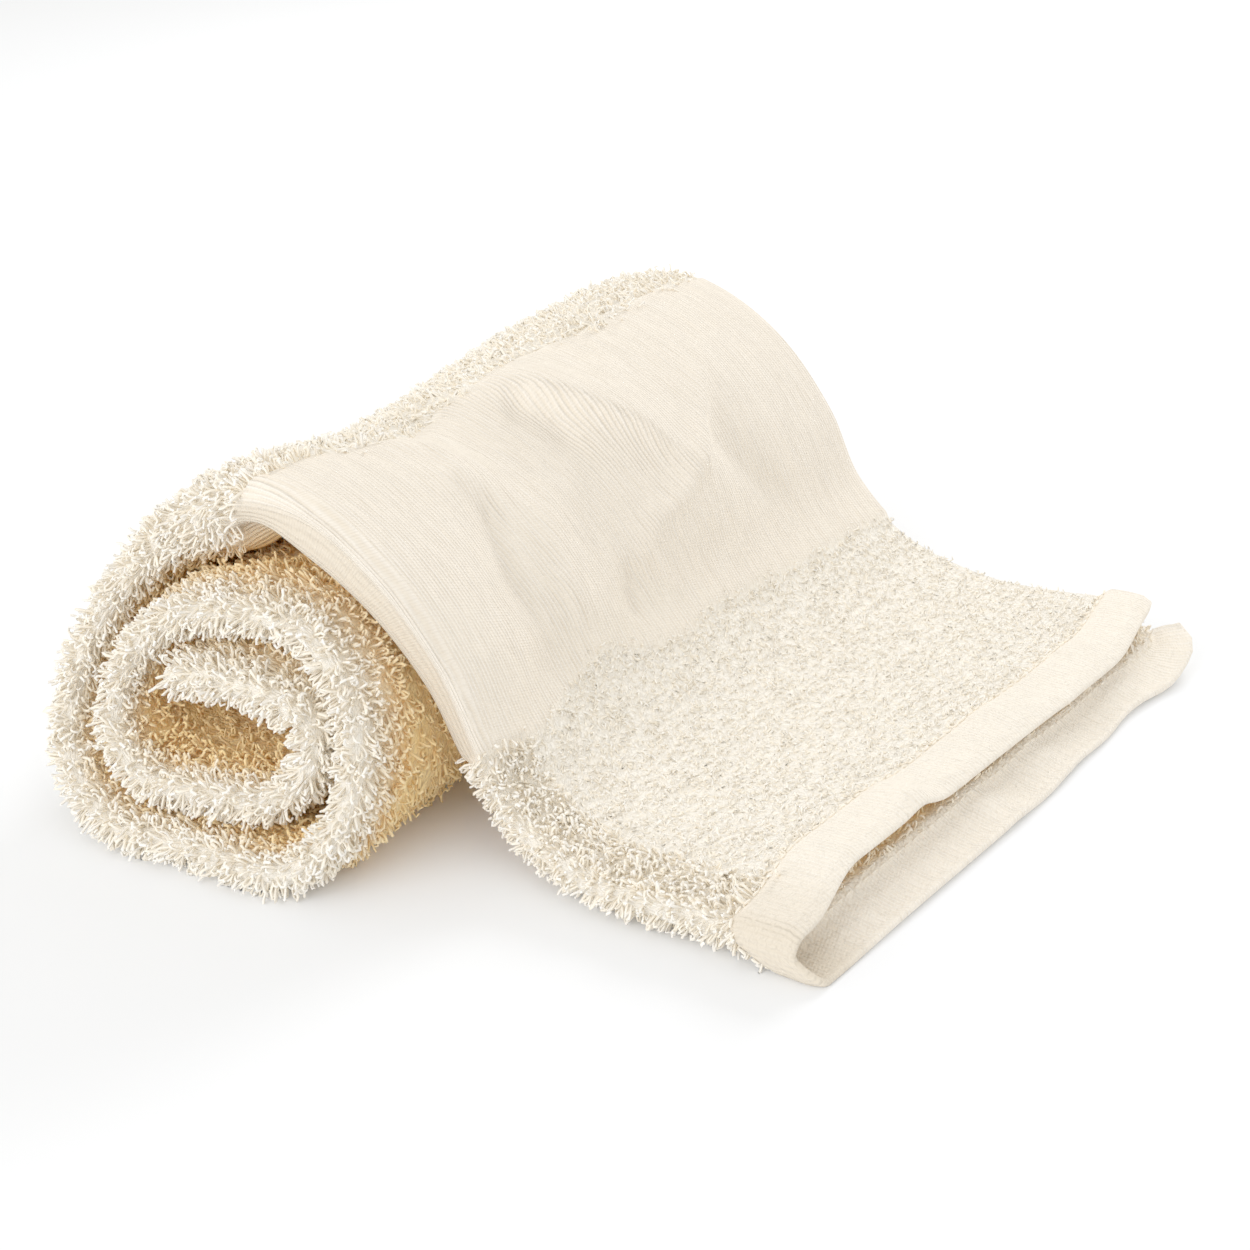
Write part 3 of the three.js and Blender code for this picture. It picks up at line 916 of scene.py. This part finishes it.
def yarn(tree, enter, ring, handles):
    """One yarn of the pile: a tube along a Bezier segment. A hairpin comes back down, and any other
    yarn ends at its tip, where it is thinner."""
    arc = {"Resolution": enter["Loop Segments"]}
    for label, (x, y, z) in zip(("Start", "Start Handle", "End Handle", "End"), handles):
        wide, high = enter["Loop Width"], enter["Loop Length"]
        arc[label] = point_of(tree, X=times(tree, wide, x), Y=times(tree, wide, y), Z=times(tree, high, z))
    line = node(tree, "GeometryNodeCurvePrimitiveBezierSegment", arc, mode="POSITION")
    along = node(tree, "GeometryNodeSplineParameter").outputs["Factor"]
    if handles[3][2] < HAIRPIN_END:
        height = math_node(tree, "SINE", times(tree, along, math.pi))
        girth = HAIRPIN_GIRTH
    else:
        height = along
        girth = less(tree, 1.0, times(tree, math_node(tree, "POWER", along, 5.0), 0.4))
    # tip, 0 at the roots, sets how much painted shade the loop's colour takes
    line = stored(tree, line.outputs[0], "tip", height)
    line = node(tree, "GeometryNodeSetCurveRadius", {"Curve": line, "Radius": girth}).outputs[0]
    inputs = {"Curve": line, "Profile Curve": ring, "Fill Caps": True}
    return node(tree, "GeometryNodeCurveToMesh", inputs).outputs[0]


def yarn_turn(tree, enter, normal):
    """How a yarn is turned. The comb, the tousle and the clumps lean it along the surface, Stand lifts
    it off, and it is spun about itself."""
    tousle = scaled(tree, random_vector(tree, 1, enter["Seed"]), enter["Tousle"])
    waves = noise(tree, 160, 1)["Color"]
    clump = scaled(tree, vector_node(tree, "SUBTRACT", waves, (0.5, 0.5, 0.5)).outputs[0], enter["Clump"])
    lean = added_up(tree, added_up(tree, recalled(tree, "comb", "FLOAT_VECTOR"), tousle), clump)
    upward = vector_node(tree, "DOT_PRODUCT", lean, normal).outputs["Value"]
    way = added_up(tree, lean, scaled(tree, normal, less(tree, enter["Stand"], upward)))
    aim = node(tree, "FunctionNodeAlignRotationToVector", {"Vector": way}, axis="Z").outputs[0]
    spin = point_of(tree, Z=random_number(tree, 0, 2 * math.pi, SPIN_SEED))
    return node(tree, "FunctionNodeRotateRotation", {0: aim, 1: spin}, rotation_space="LOCAL").outputs[0]


def pile_tree(material):
    """Scatters loops over an emitter. The emitter's cover thins them and its comb leans them."""
    tree = bpy.data.node_groups.new("pile", "GeometryNodeTree")
    sockets = named_sockets(tree, dict(zip(LOOP_SIZES, LOOPS["pile_rim_inner"])))
    enter = node(tree, "NodeGroupInput").outputs
    density = times(tree, recalled(tree, "cover"), enter["Density"])
    spread = {"Mesh": enter["Geometry"], "Density": density, "Seed": enter["Seed"]}
    scatter = node(tree, "GeometryNodeDistributePointsOnFaces", spread, distribute_method="RANDOM").outputs
    ring = node(tree, "GeometryNodeCurvePrimitiveCircle", {"Resolution": 3, "Radius": enter["Yarn Radius"]})
    shapes = node(tree, "GeometryNodeGeometryToInstance")
    for handles in YARN_SHAPES:
        put(tree, shapes.inputs[0], yarn(tree, enter, ring.outputs[0], handles))
    points = stored(tree, scatter["Points"], "shade", random_number(tree, -0.15, 0.15, SHADE_SEED))
    turn = yarn_turn(tree, enter, scatter["Normal"])
    size = random_number(tree, 0.7, 1.15, SIZE_SEED)
    planted(tree, points, shapes.outputs[0], turn, size, material, pick=True, smooth=True)
    return tree, sockets


def strip(places, columns, cover, comb, lining=False):
    """A patch of the cloth's outer face, or of its lining, for loops to stand on: points, quads, cover,
    comb and how much painted golden shade the loops take deep in the towel."""
    across, angle = columns
    depth = TERRY_SHEET if lining else LOOP_ROOT_DEPTH
    grid_place = places[:, None] + 0 * across[None, :]
    grid_across = across[None, :] + 0 * places[:, None]
    grid_angle = angle[None, :] + 0 * grid_place
    points = placed(skin(grid_place, grid_across, angle[None, :], depth)).reshape(-1, 3)
    faces = grid_faces(len(places), len(across), flip=lining)
    thinned = cover(grid_place, grid_across) * terry(grid_place, grid_across, grid_angle)
    lean = np.broadcast_to(np.array(comb, float), grid_place.shape + (3,))
    deep = painted_shade_depth(grid_place, grid_across, grid_angle)
    if lining:
        deep = np.maximum(deep, lining_shade_depth(grid_place, grid_across))
    return points, faces, thinned.ravel(), lean.reshape(-1, 3), deep.ravel()


def emitter(name, strips):
    """One mesh of several strips."""
    count = 0
    faces = []
    for points, quads, *_ in strips:
        faces.append(quads + count)
        count += len(points)
    points, cover, comb, deep = (np.concatenate([part[i] for part in strips]) for i in (0, 2, 3, 4))
    # deep carries the painted golden shade onto the loops
    attributes = [("cover", cover), ("comb", comb), ("deep", deep)]
    return mesh_object(name, points, np.concatenate(faces), attributes)


def fold_columns(reach):
    """Columns of a strip round the folded edge, out to a share across on both layers."""
    side = np.linspace(reach, 0, 6)
    turn = np.radians(np.linspace(90, -90, 11))[1:-1]
    across = np.concatenate([side, np.zeros(len(turn)), side[::-1]])
    angle = np.concatenate([np.full(6, math.pi / 2), turn, np.full(6, -math.pi / 2)])
    return across, angle


def outer_side(first, last, count):
    """Columns of the outer layer, from a share across down to a lower one."""
    return np.linspace(last, first, count), np.full(count, math.pi / 2)


def inner_side(first, last, count):
    """Columns of the inner layer, from a share across up to a higher one."""
    return np.linspace(first, last, count), np.full(count, -math.pi / 2)


def full_cover(place, across):
    return np.ones(np.broadcast(place, across).shape)


def rim_cover(place, across):
    return 1 - 0.15 * ease(across / 0.09)


def wrap_cover(place, across):
    """Where the next turn hides the cloth, only the loops near the fold are grown."""
    return 1 - ease((across - 0.2) / 0.2) * (1 - ease((place - 16) / 1.5))


def inside_cover(place, across):
    return 1 - ease((across - 0.2) / 0.22)


def rim_patch(first, last):
    """Round the roll's folded edge, at its near end."""
    return [strip(places_between(first, last, 2.5), fold_columns(0.09), rim_cover, (0, -0.5, -0.3))]


def wrap_patch():
    """The outside of the roll, up to the woven band."""
    return [strip(places_between(13, 23.8, 3), outer_side(0.09, 1, 60), wrap_cover, (-0.1, -0.4, -0.4))]


def flap_patch():
    """The upper face of the loose end, from the band to the hem."""
    places = places_between(26.6, LAST - 0.9, 2.5)
    return [strip(places, outer_side(0.04, 1, 64), full_cover, (0.1, -0.1, 0))]


def brim_patch():
    """Round the loose end's folded edge."""
    return [strip(places_between(26.8, LAST - 0.8, 2), fold_columns(0.07), full_cover, (0, -0.4, -0.25))]


def inside_patch():
    """The faces between the turns, as far in as they show from the near end."""
    comb = (0, -0.5, -0.1)
    return [
        strip(places_between(0, UNDER_WRAP, 3), outer_side(0.08, 0.42, 20), inside_cover, comb),
        strip(places_between(0, UNDER_BAND, 3), inner_side(0.08, 0.42, 20), inside_cover, comb),
    ]


def end_patch():
    """The selvages at the far end, on both faces of both layers, and the lower layer's upper face
    where it lies open beyond the upper hem."""
    outward = (0, 0.5, -0.1)
    roll = places_between(0, UNDER_BAND, 3)
    outer_selvage = outer_side(0.95, 1, 4)
    inner_selvage = inner_side(0.95, 1, 4)
    open_lining = places_between(30.4, LAST - 0.8, 1.5)
    faces = [
        strip(places_between(0, UNDER_WRAP, 3), outer_side(0.88, 1, 8), full_cover, outward),
        strip(roll, inner_side(0.88, 1, 8), full_cover, outward),
    ]
    for places, columns in (
        (roll, outer_selvage),
        (roll, inner_selvage),
        (places_between(DRAPE_FROM, 31, 3), outer_selvage),
        (places_between(DRAPE_FROM, 31.2, 3), inner_selvage),
    ):
        faces.append(strip(places, columns, full_cover, outward, lining=True))
    faces.append(strip(open_lining, inner_side(0.06, 1, 60), full_cover, (0.3, 0, 0), lining=True))
    return faces


def make_pile(material):
    """The pile's seven patches, each with its own loops and seed."""
    tree, sockets = pile_tree(material)
    pieces = []
    for name, strips in (
        ("pile_rim_inner", rim_patch(0, RIM_SPLIT)),
        ("pile_rim_outer", rim_patch(RIM_SPLIT, ROLL_PILE_END)),
        ("pile_wrap", wrap_patch()),
        ("pile_flap", flap_patch()),
        ("pile_brim", brim_patch()),
        ("pile_inside", inside_patch()),
        ("pile_ends", end_patch()),
    ):
        base = emitter(name + "_ground", strips)
        pieces.append(grow(name, base, tree, sockets, dict(zip(LOOP_SIZES, LOOPS[name]))))
    return pieces


# Stitches

STITCHES = {"Pitch": 0.0028, "Stitch Length": 0.0019, "Thread": 0.0006, "Seed": 4}
STITCH_PAST_SEAM = 0.06
OUTER_STITCH_DEPTH = -0.4  # the thread stands proud of the groove it draws
INNER_STITCH_DEPTH = WOVEN_SHEET + 0.1


def stitch_tree(material):
    """A row of small stitches along a line."""
    tree = bpy.data.node_groups.new("stitching", "GeometryNodeTree")
    sockets = named_sockets(tree, STITCHES)
    enter = node(tree, "NodeGroupInput").outputs
    line = node(tree, "GeometryNodeMeshToCurve", {"Mesh": enter["Geometry"]}).outputs[0]
    inputs = {"Curve": line, "Length": enter["Pitch"]}
    spaced = node(tree, "GeometryNodeResampleCurve", inputs, mode="LENGTH")
    bead = node(tree, "GeometryNodeMeshUVSphere", {"Segments": 6, "Rings": 4, "Radius": 0.5})
    tangent = node(tree, "GeometryNodeInputTangent").outputs[0]
    way = added_up(tree, tangent, random_vector(tree, 0.12, enter["Seed"]))
    aim = node(tree, "FunctionNodeAlignRotationToVector", {"Vector": way}, axis="Z")
    shape = point_of(tree, X=enter["Thread"], Y=enter["Thread"], Z=enter["Stitch Length"])
    planted(tree, spaced.outputs[0], bead.outputs[0], aim.outputs[0], shape, material)
    return tree, sockets


def make_stitches(material):
    """Stitches along both layers' hems, on the outer face and on the inner one."""
    across, angle = section_columns()
    off_fold = across > 0.03
    points = []
    edges = []
    for depth, kept in (
        (OUTER_STITCH_DEPTH, across >= 0),
        (INNER_STITCH_DEPTH, off_fold & (angle > 0)),
        (INNER_STITCH_DEPTH, off_fold & (angle < 0)),
    ):
        place = seam_place(angle[kept]) + STITCH_PAST_SEAM
        row = placed(skin(place, across[kept], angle[kept], depth))
        first = len(points)
        points.extend(row.tolist())
        edges.extend((i, i + 1) for i in range(first, len(points) - 1))
    mesh = bpy.data.meshes.new("seam")
    mesh.from_pydata(points, edges, [])
    tree, sockets = stitch_tree(material)
    return grow("hem_stitches", in_scene("seam", mesh), tree, sockets, STITCHES)


# Stage

FLOOR_REACH = 6.0
FLOOR_FINISH = {"Base Color": (0.9, 0.93, 0.98, 1), "Roughness": 0.9, "Specular IOR Level": 0.1}
AIR_COLOUR = (1, 0.965, 0.9, 1)
AIR_LIGHT = 0.85
VIEW_GAMMA = 1.35  # softens the pile's shadows
# name, watts, size and place in metres: one light rakes over the towel, one fills its near end
LAMPS = [
    ("key", 3.7, 0.35, (-0.15, 0.8, 0.42)),
    ("front", 4.3, 0.7, (-0.1, -0.95, 0.42)),
]
LAMPS_AIM = Vector((0, 0, 0.03))
CAMERA_PLACE = (0.2317, -0.2836, 0.2078)
CAMERA_AZIMUTH = 39
CAMERA_ELEVATION = 27
CAMERA_LENS = 57.6


def make_floor():
    mesh = bpy.data.meshes.new("floor")
    corners = [(-1, -1), (1, -1), (1, 1), (-1, 1)]
    mesh.from_pydata([(x * FLOOR_REACH, y * FLOOR_REACH, 0) for x, y in corners], [], [(0, 1, 2, 3)])
    made, _ = new_material("floor", FLOOR_FINISH)
    mesh.materials.append(made)
    in_scene("floor", mesh)


def make_lights():
    scene = bpy.context.scene
    scene.cycles.diffuse_bounces = 10  # light passes on many times in a white pile
    scene.view_settings.view_transform = "Standard"
    scene.view_settings.gamma = VIEW_GAMMA
    scene.world = bpy.data.worlds.new("studio")
    scene.world.use_nodes = True
    background = scene.world.node_tree.nodes["Background"]
    background.inputs["Color"].default_value = AIR_COLOUR
    background.inputs["Strength"].default_value = AIR_LIGHT
    for name, power, size, place in LAMPS:
        lamp = bpy.data.lights.new(name, "AREA")
        lamp.energy = power
        lamp.size = size
        made = in_scene(name, lamp)
        made.location = place
        made.rotation_euler = (LAMPS_AIM - Vector(place)).to_track_quat("-Z", "Y").to_euler()


def make_camera():
    azimuth, elevation = math.radians(CAMERA_AZIMUTH), math.radians(CAMERA_ELEVATION)
    aim = Vector((
        -math.sin(azimuth) * math.cos(elevation),
        math.cos(azimuth) * math.cos(elevation),
        -math.sin(elevation),
    ))
    data = bpy.data.cameras.new("camera")
    data.lens = CAMERA_LENS
    data.sensor_width = 36
    camera = in_scene("camera", data)
    camera.location = CAMERA_PLACE
    camera.rotation_euler = aim.to_track_quat("-Z", "Y").to_euler()
    bpy.context.scene.camera = camera


make_camera()
make_lights()
make_floor()

cloth = make_cloth()
cloth.data.materials.append(cloth_material(weave_group()))
added = make_pile(pile_material())
added.append(make_stitches(thread_material()))

for piece in [cloth, *added]:
    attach(piece, "root")
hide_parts("towel")
